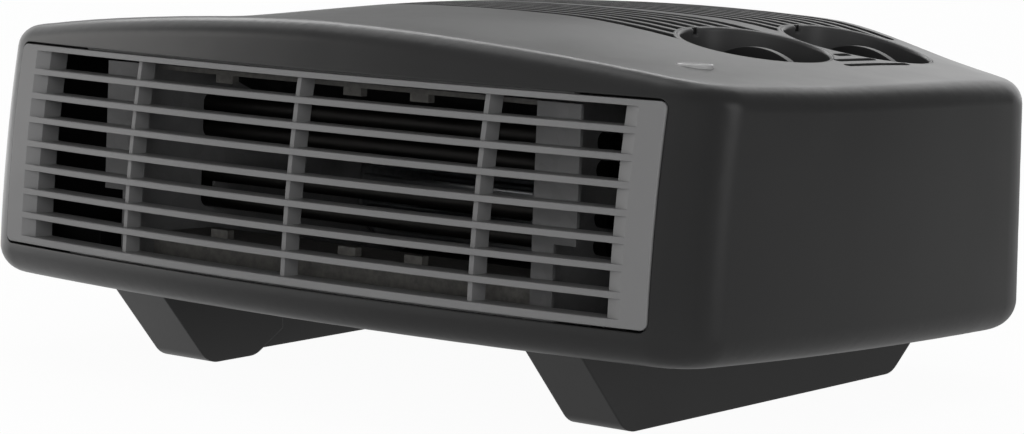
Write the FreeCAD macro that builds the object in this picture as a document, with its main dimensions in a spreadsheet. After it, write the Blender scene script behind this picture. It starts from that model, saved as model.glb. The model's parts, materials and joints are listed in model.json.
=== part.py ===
import FreeCAD, Part
import math
import os
import re
from FreeCAD import Placement, Rotation, Vector

# A low fan heater, built in the frame of its own case: X to the right, Y to the back, Z up,
# with the origin at the middle of the front panel's lower edge. The feet pitch the case up.
doc = FreeCAD.newDocument("GarageFanHeater")
sheet = doc.addObject("Spreadsheet::Sheet", "Sizes")

SIZES = [
    ("pitch_angle", 3.0, "backward lean of the case, degrees"),
    ("seat_height", 42.7, "panel's lower edge above the floor"),
    ("wall", 2.6, "case wall"),
    ("seat_gap", 0.3, "clearance between fitted pieces"),
    ("close_gap", 0.05, "clearance of a snug or running fit"),
    ("case_half_width", 164.0, "case, middle to side"),
    ("case_rear", 222.5, "back wall"),
    ("case_bottom", -12.0, "underside"),
    ("taper_start", 85.0, "widest place of the case"),
    ("taper_radius", 870.0, "plan radius of the sides towards the back"),
    ("nose_radius", 560.0, "plan radius of the sides towards the front"),
    ("rear_corner", 36.0, "plan radius of the back corners"),
    ("front_corner", 22.0, "plan radius of the front corners"),
    ("side_draft", 0.015, "sides lean in by this much per unit of height"),
    ("back_draft", 0.02, "back leans in by this much per unit of height"),
    ("bottom_edge", 10.0, "rounding of the lower edge"),
    ("top_edge", 8.5, "rounding of the upper edge"),
    ("bow_radius", 906.8, "plan radius of the bowed front"),
    ("face_radius", 505.0, "side radius of the bowed front"),
    ("face_upright", -5.5, "height where the front is upright"),
    ("arch_height", 86.1, "front crest at the middle"),
    ("arch_radius", 1130.0, "radius of the arched front crest"),
    ("roof_front", 10.0, "where the roof rule starts"),
    ("roof_rear_inset", 7.5, "where the roof rule ends, forward of the back wall"),
    ("deck_fall", 14.6, "deck at the back, below the front crest"),
    ("hump_rise", 19.2, "hump at the back, above the deck"),
    ("hump_swell", 1.6, "extra rise of the hump halfway back"),
    ("hump_radius", 1165.0, "crosswise radius of the hump's top"),
    ("flank_in_front", -34.7, "hump flank, inner half width at the front"),
    ("flank_in_middle", 63.4, "hump flank, pull on the inner half width"),
    ("flank_in_rear", 61.3, "hump flank, inner half width at the back"),
    ("flank_out_front", 66.7, "hump flank, outer half width at the front"),
    ("flank_out_middle", 246.6, "hump flank, pull on the outer half width"),
    ("flank_out_rear", 161.7, "hump flank, outer half width at the back"),
    ("panel_inset", 19.0, "front panel's end, inward from the case side"),
    ("panel_drop", 16.4, "front panel's upper edge, below the front crest"),
    ("panel_corner", 2.5, "front panel's corner radius"),
    ("panel_edge", 0.5, "rounding of the front panel's front edges"),
    ("panel_gap", 0.8, "gap above and below the front panel"),
    ("panel_end_gap", 0.3, "gap at the ends of the front panel"),
    ("panel_proud", 0.4, "panel stands this far out of the case"),
    ("panel_depth", 10.0, "front panel, front to back"),
    ("panel_margin", 10.3, "plain margin at each end of the slats"),
    ("ramp_run", 4.8, "ramp at the ends of the gaps, along the panel"),
    ("ramp_step", 0.4, "step from the margins down to the ramps"),
    ("ramp_depth", 2.0, "ramp at the ends of the gaps, front to back"),
    ("slat_front", 2.1, "front edge of a slat"),
    ("slat_round", 0.4, "rounding of a slat's upper front edge"),
    ("slat_under", 0.2, "rounding of a slat's lower front edge"),
    ("slat_count", 9, "slats"),
    ("slat_first", 1.6, "lowest slat's middle"),
    ("slat_last", 0.9, "highest slat's middle, below the panel's upper edge"),
    ("rib_offset", 78.6, "upright ribs to each side"),
    ("rib_width", 1.8, "upright ribs"),
    ("rib_setback", 2.6, "ribs behind the slats' front"),
    ("lip_width", 2.4, "panel's rear lip"),
    ("lip_depth", 2.4, "panel's rear lip, front to back"),
    ("lip_inset", 35.0, "end of the panel's rear lip, inward from the panel's end"),
    ("slot_width", 4.5, "intake slots"),
    ("slot_pitch", 7.0, "intake slots"),
    ("slot_half_length", 78.0, "intake slots, middle to left end"),
    ("slot_setback", 121.5, "front edge of the first slot, forward of the back wall"),
    ("slots_front", 7, "slots before the broad rib"),
    ("slots_rear", 8, "slots behind the broad rib"),
    ("slot_bank_step", 55.0, "first slot to the first slot behind the broad rib"),
    ("slot_reach", 95.0, "right end of the slots behind the rear well"),
    ("corner_slot_offset", 14.0, "first lengthwise slot, outward of the rear well's axis"),
    ("corner_slot_pitch", 6.5, "lengthwise slots between the wells"),
    ("corner_slot_width", 3.0, "lengthwise slots between the wells"),
    ("corner_slot_lead", 8.4, "front end of the longest lengthwise slot, behind the front well's axis"),
    ("well_radius", 25.0, "dial wells inside"),
    ("well_wall", 1.1, "dial well wall"),
    ("well_floor", 60.0, "top of the well floor"),
    ("well_floor_thick", 2.2, "well floor"),
    ("front_well_inset", 67.2, "front well's axis, inward from the case side"),
    ("rear_well_inset", 63.0, "rear well's axis, inward from the case side"),
    ("rear_well_setback", 45.7, "rear well's axis, forward of the back wall"),
    ("well_spacing", 52.2, "front well's axis, forward of the rear well's"),
    ("rim_width", 1.2, "plain rim between a well and the slots"),
    ("notch_width", 2.6, "index notch in the well wall"),
    ("notch_depth", 2.1, "index notch, down from the rim"),
    ("knob_radius", 21.0, "knob disc"),
    ("knob_thick", 4.0, "knob disc"),
    ("knob_lift", 0.6, "knob above the well floor"),
    ("grip_radius", 31.0, "arched top of the grip"),
    ("grip_height", 17.5, "grip above the knob disc"),
    ("grip_thick", 2.8, "grip"),
    ("spindle_radius", 3.0, "control spindles"),
    ("spindle_socket", 8.0, "spindle length inside the knob"),
    ("control_width", 28.0, "thermostat and switch bodies"),
    ("control_height", 12.0, "thermostat and switch bodies"),
    ("lens_inset", 45.0, "pilot lens, inward from the case side"),
    ("lens_y", 64.0, "pilot lens"),
    ("lens_radius", 5.85, "pilot lens"),
    ("lens_proud", 0.9, "pilot lens above the deck"),
    ("lamp_radius", 4.2, "pilot lamp"),
    ("lamp_length", 15.0, "pilot lamp"),
    ("opening_inset", 22.0, "opening in the underside, inward from the case side"),
    ("opening_front", 20.0, "opening in the underside"),
    ("opening_rear_inset", 22.0, "opening in the underside, forward of the back wall"),
    ("opening_corner", 30.0, "corner radius of that opening"),
    ("boss_half", 5.0, "screw bosses, half width"),
    ("boss_reach", 38.0, "screw bosses, inward from the case side"),
    ("boss_height", 16.0, "screw bosses"),
    ("screw_radius", 1.75, "screw shank"),
    ("screw_head", 3.5, "screw head radius"),
    ("screw_head_thick", 2.0, "screw head"),
    ("screw_length", 12.0, "screw shank"),
    ("foot_inset", 6.0, "foot's inner side, inward from the duct's end"),
    ("foot_ledge", 9.0, "foot's rail, outward from the foot's inner side"),
    ("foot_width", 23.6, "foot, inner to outer side"),
    ("foot_front", 50.4, "front end of the foot's sole"),
    ("foot_rear_setback", 24.9, "back end of the foot's sole, forward of the back wall"),
    ("foot_block", 74.0, "back end of the foot's wide block"),
    ("foot_front_run", 24.2, "lean of the foot's front"),
    ("foot_rear_run", 11.0, "lean of the foot's back"),
    ("foot_rear_rise", 9.0, "height of the leaning back"),
    ("foot_round", 10.0, "rounding of the sole's ends"),
    ("duct_half", 89.0, "air duct, middle to end plate"),
    ("sheet_metal", 1.2, "plate thickness"),
    ("plate_front", 23.0, "front of the end plates"),
    ("plate_behind", 32.0, "back of the end plates, behind the fan axis"),
    ("plate_drop", 3.7, "top of the end plates, below the front panel's upper edge"),
    ("plate_low_top", 44.5, "top of the end plates below the controls"),
    ("plate_flange", 18.0, "front flange of the end plates"),
    ("plate_clear", 2.0, "front of the end plates, above the base plate"),
    ("flange_step_z", 21.5, "height below which the front flange is half as wide"),
    ("element_y", 55.5, "heating rods"),
    ("element_radius", 3.2, "heating rods"),
    ("element_bend", 4.5, "bend radius of the heating rods"),
    ("upper_element_drop", 18.5, "upper rod, middle of the bend, below the plates' top"),
    ("lower_element_z", 23.0, "lower rod, middle of the bend"),
    ("element_tail", 5.0, "rod ends outside the right plate"),
    ("insulator_front", 30.0, "insulator strips"),
    ("insulator_depth", 29.0, "insulator strips"),
    ("insulator_thick", 1.6, "insulator strips"),
    ("insulator_drop", 2.0, "upper insulator strip, below the plates' top"),
    ("lower_insulator_z", 6.0, "lower insulator strip"),
    ("tab_size", 8.0, "tabs of the insulator strips"),
    ("tab_drop", 3.0, "tabs of the insulator strips"),
    ("skirt_clear", 3.0, "skirt of the lower insulator strip, above the base plate"),
    ("fan_setback", 72.5, "fan axis, forward of the back wall"),
    ("fan_radius", 22.0, "fan rotor"),
    ("fan_end_gap", 5.0, "fan rotor to end plate"),
    ("fan_ring", 5.0, "radial depth of the fan blades"),
    ("fan_blades", 22, "fan blades"),
    ("blade_thick", 1.2, "fan blades"),
    ("fan_disc", 1.6, "fan discs"),
    ("shaft_radius", 2.5, "fan shaft"),
    ("shaft_overhang", 8.0, "fan shaft, beyond the duct's right end"),
    ("shaft_tail", 11.0, "fan shaft, beyond the motor stack"),
    ("bearing_radius", 7.0, "fan bearing"),
    ("bearing_flange", 10.0, "fan bearing's flange"),
    ("bearing_length", 6.0, "fan bearing"),
    ("guide_radius", 27.0, "air guide round the fan"),
    ("guide_lift", 0.7, "air guide above the base plate"),
    ("guide_front", 62.3, "front edge of the air guide"),
    ("tongue_gap", 3.0, "air tongue to fan rotor"),
    ("tongue_front", 62.0, "air tongue at the heating rods"),
    ("tongue_drop", 3.0, "air tongue at the heating rods, below the plates' top"),
    ("motor_standoff", 15.0, "motor stack, beyond the duct's left end"),
    ("stator_thick", 18.0, "motor stack"),
    ("stator_ahead", 24.0, "motor stack, ahead of the fan axis"),
    ("stator_behind", 36.0, "motor stack, behind the fan axis"),
    ("stator_half_height", 19.5, "motor stack, above and below the fan axis"),
    ("stator_bore", 13.25, "motor stack's bore"),
    ("window_behind", 16.0, "coil window, behind the fan axis"),
    ("window_depth", 12.0, "coil window, front to back"),
    ("window_inset", 5.0, "coil window, above the stack's lower edge"),
    ("coil_build", 9.5, "coil, thickness round the limb"),
    ("air_gap", 0.5, "motor rotor to bore"),
    ("bracket_reach", 6.0, "bracket strips, out from the stack"),
    ("bracket_thick", 1.5, "bracket strips"),
    ("bracket_leg", 2.4, "bracket legs"),
    ("bracket_ahead", 22.0, "brackets, ahead of the fan axis"),
    ("bracket_half_height", 5.5, "brackets"),
    ("post_radius", 3.0, "posts between a bracket and the end plate"),
    ("post_inset", 4.0, "posts, inward from the bracket's ends"),
    ("cutout_radius", 8.0, "thermal cut-out"),
    ("cutout_thick", 7.0, "thermal cut-out"),
    ("cutout_y", 76.0, "thermal cut-out"),
    ("cutout_z", 30.0, "thermal cut-out"),
    ("block_length", 42.0, "terminal block"),
    ("block_depth", 16.0, "terminal block"),
    ("block_height", 14.0, "terminal block"),
    ("block_x", -62.0, "terminal block's left end"),
    ("block_setback", 36.5, "terminal block's front, forward of the back wall"),
    ("gland_x", -41.0, "cord gland"),
    ("gland_z", 14.0, "cord gland"),
    ("gland_radius", 6.0, "cord gland in the wall"),
    ("gland_flange", 9.0, "cord gland's flanges"),
    ("gland_flange_thick", 2.5, "cord gland's flanges"),
    ("gland_bore", 3.8, "cord gland's bore"),
]

# places that follow from the sizes above
PLACES = [
    ("base_top", "case_bottom + wall", "upper face of the base plate"),
    ("roof_rear", "case_rear - roof_rear_inset", "where the roof rule ends"),
    ("deck_rear", "arch_height - deck_fall", "deck height at the back"),
    ("hump_rear", "deck_rear + hump_rise", "hump height at the back"),
    ("panel_half_width", "case_half_width - panel_inset", "front panel, middle to end"),
    ("panel_height", "arch_height - panel_drop", "front panel"),
    ("slat_pitch", "(panel_height - slat_first - slat_last) / (slat_count - 1)", "slat to slat"),
    ("lip_half_width", "panel_half_width - lip_inset", "panel's rear lip, middle to end"),
    ("slot_first", "case_rear - slot_setback", "front edge of the first slot"),
    ("slot_second", "slot_first + slot_bank_step", "front edge of the first slot behind the broad rib"),
    ("rear_well_x", "case_half_width - rear_well_inset", "rear well"),
    ("rear_well_y", "case_rear - rear_well_setback", "rear well"),
    ("front_well_x", "case_half_width - front_well_inset", "front well"),
    ("front_well_y", "rear_well_y - well_spacing", "front well"),
    ("corner_slot_first", "rear_well_x + corner_slot_offset", "first lengthwise slot"),
    ("corner_slot_front", "front_well_y + corner_slot_lead", "front end of the longest lengthwise slot"),
    ("lens_x", "case_half_width - lens_inset", "pilot lens"),
    ("opening_half_width", "case_half_width - opening_inset", "opening in the underside"),
    ("opening_rear", "case_rear - opening_rear_inset", "opening in the underside"),
    ("foot_inner", "duct_half - foot_inset", "foot, inner side"),
    ("foot_step", "foot_inner + foot_ledge", "inner side of the foot's rail"),
    ("foot_outer", "foot_inner + foot_width", "foot, outer side"),
    ("foot_rear", "case_rear - foot_rear_setback", "back end of the foot's sole"),
    ("plate_top", "panel_height - plate_drop", "top of the end plates"),
    ("upper_element_z", "plate_top - upper_element_drop", "upper rod, middle of the bend"),
    ("upper_insulator_z", "plate_top - insulator_drop", "upper insulator strip"),
    ("tongue_front_z", "plate_top - tongue_drop", "air tongue at the heating rods"),
    ("fan_y", "case_rear - fan_setback", "fan axis"),
    ("fan_z", "base_top + guide_lift + sheet_metal + guide_radius", "fan axis"),
    ("fan_half_length", "duct_half - fan_end_gap", "fan rotor, middle to end"),
    ("plate_rear", "fan_y + plate_behind", "back of the end plates"),
    ("stator_inner", "duct_half + motor_standoff", "motor stack, inner face, leftwards"),
    ("stator_front", "fan_y - stator_ahead", "motor stack"),
    ("stator_rear", "fan_y + stator_behind", "motor stack"),
    ("stator_low", "fan_z - stator_half_height", "motor stack"),
    ("stator_high", "fan_z + stator_half_height", "motor stack"),
    ("window_front", "fan_y + window_behind", "coil window"),
    ("window_rear", "window_front + window_depth", "coil window"),
    ("bracket_front", "fan_y - bracket_ahead", "brackets"),
    ("shaft_right", "duct_half + shaft_overhang", "right end of the fan shaft"),
    ("shaft_left", "stator_inner + stator_thick + shaft_tail", "left end of the fan shaft, leftwards"),
    ("block_y", "case_rear - block_setback", "terminal block's front"),
]

for row, (alias, value, note) in enumerate(SIZES + PLACES, start=1):
    sheet.set("A%d" % row, note)
    sheet.set("B%d" % row, "=%s" % value)
    sheet.setAlias("B%d" % row, alias)
doc.recompute()

S = {}
for alias, value, note in SIZES + PLACES:
    S[alias] = float(sheet.get(alias))
NAMES = re.compile(r"\b(" + "|".join(sorted(S, key=len, reverse=True)) + r")\b")
PARTS = []


def bind(text):
    # turns the names in a rule into references to the sheet
    return NAMES.sub(r"Sizes.\1", str(text))


def set_rule(obj, prop, text):
    obj.setExpression(prop, bind(text))


def set_base(obj, x, y, z):
    set_rule(obj, "Placement.Base.x", x)
    set_rule(obj, "Placement.Base.y", y)
    set_rule(obj, "Placement.Base.z", z)


def box(name, x, y, z):
    # x, y and z are pairs of rules: the low and the high side
    obj = doc.addObject("Part::Box", name)
    set_rule(obj, "Length", "(%s) - (%s)" % (x[1], x[0]))
    set_rule(obj, "Width", "(%s) - (%s)" % (y[1], y[0]))
    set_rule(obj, "Height", "(%s) - (%s)" % (z[1], z[0]))
    set_base(obj, x[0], y[0], z[0])
    return obj


TURNS = {
    "X": Rotation(Vector(0, 1, 0), 90),
    "Y": Rotation(Vector(1, 0, 0), -90),
    "Z": Rotation(),
}


def rod(name, radius, length, x, y, z, axis="Z"):
    # a cylinder that starts at x, y, z and runs along the axis
    obj = doc.addObject("Part::Cylinder", name)
    obj.Placement = Placement(Vector(), TURNS[axis])
    set_rule(obj, "Radius", radius)
    set_rule(obj, "Height", length)
    set_base(obj, x, y, z)
    return obj


def fuse(name, *shapes):
    obj = doc.addObject("Part::MultiFuse", name)
    obj.Shapes = list(shapes)
    obj.Refine = True
    return obj


def cut(name, base, *tools):
    obj = doc.addObject("Part::Cut", name)
    obj.Base = base
    obj.Tool = tools[0] if len(tools) == 1 else fuse(name + "_tools", *tools)
    return obj


def group(name, *shapes):
    obj = doc.addObject("Part::Compound", name)
    obj.Links = list(shapes)
    return obj


def keep(obj, label):
    obj.Label = label
    PARTS.append(obj)
    return obj


def keep_shape(shape, label):
    obj = doc.addObject("Part::Feature", label)
    obj.Shape = shape
    return keep(obj, label)


def ramp(t):
    t = min(max(t, 0.0), 1.0)
    return t * t * (3.0 - 2.0 * t)


def sweep(t, front, middle, rear):
    return front * (1.0 - t) ** 2 + 2.0 * middle * t * (1.0 - t) + rear * t * t


def roof_height(x, y):
    # the arched front crest runs back into a flat deck with a flaring hump on it
    t = (y - S["roof_front"]) / (S["roof_rear"] - S["roof_front"])
    crest = S["arch_height"] - x * x / (2.0 * S["arch_radius"])
    deck = (1.0 - t) * crest + t * S["deck_rear"]
    inner = sweep(t, S["flank_in_front"], S["flank_in_middle"], S["flank_in_rear"])
    outer = sweep(t, S["flank_out_front"], S["flank_out_middle"], S["flank_out_rear"])
    outer = max(outer, inner + 20.0)
    rise = t * (S["hump_rear"] - S["deck_rear"] - x * x / (2.0 * S["hump_radius"]))
    rise += S["hump_swell"] * 4.0 * t * (1.0 - t)
    return deck + rise * (1.0 - ramp((abs(x) - inner) / (outer - inner)))


def below_roof(drop):
    # the grid reaches past the sides, the front and the back of the case
    side = 1.16 * S["case_half_width"]
    depth = 1.12 * S["case_rear"]
    levels = [depth * k / 17.0 for k in range(-1, 18)]
    rows = []
    for i in range(39):
        x = side * (i - 19) / 19.0
        rows.append([Vector(x, y, roof_height(x, y) - drop) for y in levels])
    surface = Part.BSplineSurface()
    surface.interpolate(rows)
    return surface.toShape().extrude(Vector(0, 0, -2.4 * S["arch_height"]))


def face_depth(z, depth=0.0):
    # where the middle of the bowed front lies at one height, moved back by depth
    radius = S["face_radius"]
    middle_y = math.sqrt(radius ** 2 - S["face_upright"] ** 2)
    return middle_y - math.sqrt((radius - depth) ** 2 - (z - S["face_upright"]) ** 2)


def behind_front(depth):
    # everything behind the bowed front, moved back by depth
    low, high = -0.7 * S["arch_height"], 1.6 * S["arch_height"]
    points = [Vector(0, face_depth(z, depth), z) for z in (low, 0.5 * (low + high), high)]
    rear = 1.4 * S["case_rear"]
    corners = [points[2], Vector(0, rear, high), Vector(0, rear, low), points[0]]
    edges = [Part.Arc(*points).toShape()]
    for start, end in zip(corners[:-1], corners[1:]):
        edges.append(Part.makeLine(start, end))
    face = Part.Face(Part.Wire(edges))
    axis = Vector(0, S["bow_radius"], 0)
    face.rotate(axis, Vector(0, 0, 1), -16.0)
    return face.revolve(axis, Vector(0, 0, 1), 32.0)


def plan_wire(inset, z):
    # the case's outline at one height, with square back corners
    half = S["case_half_width"] - inset - S["side_draft"] * z
    rear = S["case_rear"] - inset - S["back_draft"] * z
    start = S["taper_start"]

    def side_point(y):
        radius = (S["taper_radius"] if y > start else S["nose_radius"]) - inset
        return Vector(half - radius + math.sqrt(radius ** 2 - (y - start) ** 2), y, z)

    front = -40.0
    right = [side_point(y) for y in (front, 0.5 * (front + start), start, 0.5 * (start + rear), rear)]
    left = [Vector(-p.x, p.y, z) for p in right]
    edges = [
        Part.makeLine(left[0], right[0]),
        Part.Arc(*right[0:3]).toShape(),
        Part.Arc(*right[2:5]).toShape(),
        Part.makeLine(right[4], left[4]),
        Part.Arc(left[4], left[3], left[2]).toShape(),
        Part.Arc(left[2], left[1], left[0]).toShape(),
    ]
    return Part.Wire(edges)


def plan_prism(inset, z_low, z_high):
    solid = Part.makeLoft([plan_wire(inset, z_low), plan_wire(inset, z_high)], True, True)
    rear = S["case_rear"] - inset
    corners = [e for e in solid.Edges if is_upright(e) and e.CenterOfMass.y > rear - 8.0]
    return solid.makeFillet(S["rear_corner"] - inset, corners)


def is_upright(edge):
    low, high = edge.Vertexes[0].Point, edge.Vertexes[-1].Point
    return abs(high.z - low.z) > 20.0 and math.hypot(high.x - low.x, high.y - low.y) < 20.0


def case_block(inset):
    # the case as a full block, its faces moved inwards by inset
    low = S["case_bottom"] + inset
    block = plan_prism(inset, low, 1.7 * S["arch_height"]).common(below_roof(inset))
    block = block.common(behind_front(S["panel_proud"] + inset))
    corners = [e for e in block.Edges if is_upright(e) and e.CenterOfMass.y < 60.0]
    block = block.makeFillet(S["front_corner"] - inset, corners)
    under = [e for e in block.Edges if all(abs(v.Z - low) < 0.01 for v in e.Vertexes)]
    block = block.makeFillet(S["bottom_edge"] - inset, under)
    upper = []
    for edge in block.Edges:
        first, last = edge.ParameterRange
        points = [edge.valueAt(first + (last - first) * k / 4.0) for k in range(5)]
        if all(abs(p.z - roof_height(p.x, p.y) + inset) < 1.0 for p in points):
            upper.append(edge)
    return block.makeFillet(S["top_edge"] - inset, upper).Solids[0]


def block_between(x, y, z):
    return Part.makeBox(x[1] - x[0], y[1] - y[0], z[1] - z[0], Vector(x[0], y[0], z[0]))


def rounded_prism(x, z, corner, y_low, y_high):
    # an upright rounded rectangle, run from y_low to y_high
    solid = block_between(x, (y_low, y_high), z)
    edges = [e for e in solid.Edges if abs(e.Vertexes[0].Y - e.Vertexes[1].Y) > 1.0]
    return solid.makeFillet(corner, edges)


def panel_outline(grow_ends, grow, y_low, y_high):
    half = S["panel_half_width"] + grow_ends
    return rounded_prism((-half, half), (-grow, S["panel_height"] + grow), S["panel_corner"] + grow, y_low, y_high)


def slot_prism(start, end, width):
    # an upright slot with round ends, from start to end in plan
    along = (end - start).normalize()
    across = Vector(-along.y, along.x, 0) * (0.5 * width)
    first, last = start + along * (0.5 * width), end - along * (0.5 * width)
    edges = [
        Part.makeLine(first - across, last - across),
        Part.Arc(last - across, end, last + across).toShape(),
        Part.makeLine(last + across, first + across),
        Part.Arc(first + across, start, first - across).toShape(),
    ]
    return Part.Face(Part.Wire(edges)).extrude(Vector(0, 0, 80))


def wells():
    return [
        (S["front_well_x"], S["front_well_y"]),
        (S["rear_well_x"], S["rear_well_y"]),
    ]


def well_keep_out():
    return S["well_radius"] + S["well_wall"] + S["rim_width"]


def slot_tools():
    fronts = [S["slot_first"] + S["slot_pitch"] * i for i in range(int(S["slots_front"]))]
    fronts += [S["slot_second"] + S["slot_pitch"] * i for i in range(int(S["slots_rear"]))]
    rims = [Part.makeCylinder(well_keep_out(), 100, Vector(x, y, 30)) for x, y in wells()]
    tools = []
    for y_front in fronts:
        y = y_front + 0.5 * S["slot_width"]
        slot = slot_prism(Vector(-S["slot_half_length"], y, 40), Vector(S["slot_reach"], y, 40), S["slot_width"])
        # a slot stops at the well rims; what lies beyond a rim is dropped
        pieces = slot.cut(rims).Solids
        tools.append(min(pieces, key=lambda piece: piece.BoundBox.XMin))
    # three lengthwise slots fill the corner between the wells on the right
    for i in range(3):
        x = S["corner_slot_first"] + S["corner_slot_pitch"] * i
        front = S["corner_slot_front"]
        rear = S["rear_well_y"] - 0.3 * S["well_radius"]
        for sign, (well_x, well_y) in zip((1.0, -1.0), wells()):
            room = well_keep_out() ** 2 - (x - well_x) ** 2
            if room > 0.0 and sign > 0.0:
                front = max(front, well_y + math.sqrt(room))
            elif room > 0.0:
                rear = min(rear, well_y - math.sqrt(room))
        tools.append(slot_prism(Vector(x, front, 40), Vector(x, rear, 40), S["corner_slot_width"]))
    return tools


def boss_places():
    half = S["case_half_width"]
    middle = 0.5 * (S["opening_front"] + S["opening_rear"])
    reach = 0.5 * (S["opening_rear"] - S["opening_front"]) - 24.0
    places = []
    for side in (-1.0, 1.0):
        for y in (middle - reach, middle, middle + reach):
            places.append((side * (half - S["boss_reach"] + S["boss_half"]), y))
    return places


def build_case():
    shell = case_block(0.0).cut(case_block(S["wall"]))
    top_of_base = S["base_top"]
    bosses = []
    for x, y in boss_places():
        inner = abs(x) - S["boss_half"]
        outer = S["case_half_width"] - 0.6 * S["wall"]
        spans = (inner, outer) if x > 0 else (-outer, -inner)
        bosses.append(block_between(spans, (y - S["boss_half"], y + S["boss_half"]),
                                    (top_of_base, top_of_base + S["boss_height"])))
    inside = case_block(0.5 * S["wall"])
    shell = shell.fuse([b.common(inside) for b in bosses]).removeSplitter()
    half = S["opening_half_width"]
    hatch = block_between((-half, half), (S["opening_front"], S["opening_rear"]),
                          (S["case_bottom"] - 5.0, top_of_base))
    corners = [e for e in hatch.Edges if abs(e.Vertexes[0].Z - e.Vertexes[1].Z) > 1.0]
    tools = [hatch.makeFillet(S["opening_corner"], corners)]
    tools.append(panel_outline(S["panel_end_gap"], S["panel_gap"], -30.0, S["front_corner"] + 10.0))
    for x, y in boss_places():
        tools.append(Part.makeCylinder(S["screw_radius"] + S["close_gap"], S["screw_length"], Vector(x, y, top_of_base)))
    for x, y in wells():
        radius = S["well_radius"] + S["well_wall"] + 0.5 * S["seat_gap"]
        tools.append(Part.makeCylinder(radius, 80, Vector(x, y, 45)))
    tools.append(Part.makeCylinder(S["lens_radius"] + 0.5 * S["seat_gap"], 40, Vector(S["lens_x"], S["lens_y"], 60)))
    tools.append(Part.makeCylinder(S["gland_radius"] + S["close_gap"], 40,
                                   Vector(S["gland_x"], S["case_rear"] - 20, S["gland_z"]), Vector(0, 1, 0)))
    shell = shell.cut(tools + slot_tools())
    return keep_shape(shell.Solids[0], "case_shell")


def front_at(x, z):
    # where the bowed front lies away from the middle
    reach = S["bow_radius"] - face_depth(z)
    return S["bow_radius"] - math.sqrt(reach ** 2 - x * x)


def gap_cutter(low, high, half):
    # the gap between two slats, bent along the bow, with the slats' front edges rounded
    upper, under = S["slat_round"], S["slat_under"]
    start, end = face_depth(low - upper), face_depth(high + under)
    ahead, rear = start - S["panel_depth"], end + 2.0 * S["panel_depth"]
    slant = math.sqrt(0.5)
    points = [
        Vector(0, ahead, low - upper), Vector(0, start, low - upper), Vector(0, start + upper, low),
        Vector(0, rear, low), Vector(0, rear, high),
        Vector(0, end + under, high), Vector(0, end, high + under), Vector(0, ahead, high + under),
    ]
    first = Vector(0, start + upper - slant * upper, low - upper + slant * upper)
    second = Vector(0, end + under - slant * under, high + under - slant * under)
    edges = [
        Part.makeLine(points[0], points[1]), Part.Arc(points[1], first, points[2]).toShape(),
        Part.makeLine(points[2], points[3]), Part.makeLine(points[3], points[4]),
        Part.makeLine(points[4], points[5]), Part.Arc(points[5], second, points[6]).toShape(),
        Part.makeLine(points[6], points[7]), Part.makeLine(points[7], points[0]),
    ]
    face = Part.Face(Part.Wire(edges))
    axis = Vector(0, S["bow_radius"], 0)
    face.rotate(axis, Vector(0, 0, 1), -16.0)
    span = block_between((-half, half), (-30.0, 60.0), (low - 5.0, high + 5.0))
    return face.revolve(axis, Vector(0, 0, 1), 32.0).common(span)


def ramp_cutters(low, high, half, front):
    # shallow ramps that lead from the plain margins down into one gap
    inner = half - S["ramp_run"]
    middle = 0.5 * (low + high)
    turn = math.degrees(math.atan(S["ramp_depth"] / S["ramp_run"]))
    cutters = []
    for side in (-1.0, 1.0):
        pivot = Vector(side * half, front_at(half, middle), 0)
        floor = front.copy()
        floor.rotate(pivot, Vector(0, 0, 1), -side * turn)
        floor.translate(Vector(0, S["ramp_step"], 0))
        spans = (inner, half + 1.0) if side > 0 else (-half - 1.0, -inner)
        cutters.append(block_between(spans, (-30.0, 60.0), (low, high)).cut(floor))
    return cutters


def build_grille():
    # a bowed slab with gaps between the slats, upright ribs behind and lips that rest inside the case
    front = behind_front(0.0)
    slab = panel_outline(0.0, 0.0, -30.0, 60.0).common(front).cut(behind_front(S["panel_depth"]))
    outline = []
    for edge in slab.Edges:
        first, last = edge.ParameterRange
        points = [edge.valueAt(first + (last - first) * k / 4.0) for k in range(5)]
        if all(abs(p.y - front_at(p.x, p.z)) < 0.05 for p in points):
            outline.append(edge)
    slab = slab.makeFillet(S["panel_edge"], outline)
    half = S["panel_half_width"] - S["panel_margin"]
    gaps = []
    for i in range(int(S["slat_count"]) - 1):
        low = S["slat_first"] + S["slat_pitch"] * i + 0.5 * S["slat_front"]
        high = low + S["slat_pitch"] - S["slat_front"]
        gaps.append(gap_cutter(low, high, half - S["ramp_run"]))
        gaps.extend(ramp_cutters(low, high, half, front))
    lip_front = S["panel_proud"] + S["wall"] + S["seat_gap"]
    layer = behind_front(lip_front).cut(behind_front(lip_front + S["lip_depth"]))
    lip_half = S["lip_half_width"]
    lips = []
    for spans in ((-S["lip_width"], 0.5), (S["panel_height"] - 0.5, S["panel_height"] + S["lip_width"])):
        lips.append(block_between((-lip_half, lip_half), (-30.0, 60.0), spans).common(layer))
    ribs = []
    low = S["slat_first"]
    high = low + S["slat_pitch"] * (S["slat_count"] - 1)
    room = behind_front(S["rib_setback"]).cut(behind_front(S["panel_depth"] - 1.0))
    for x in (-S["rib_offset"], 0.0, S["rib_offset"]):
        bar = block_between((x - 0.5 * S["rib_width"], x + 0.5 * S["rib_width"]), (-30.0, 60.0), (low, high))
        ribs.append(bar.common(room))
    panel = slab.cut(gaps).fuse(ribs + lips).removeSplitter()
    return keep_shape(panel.Solids[0], "front_grille")


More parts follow.
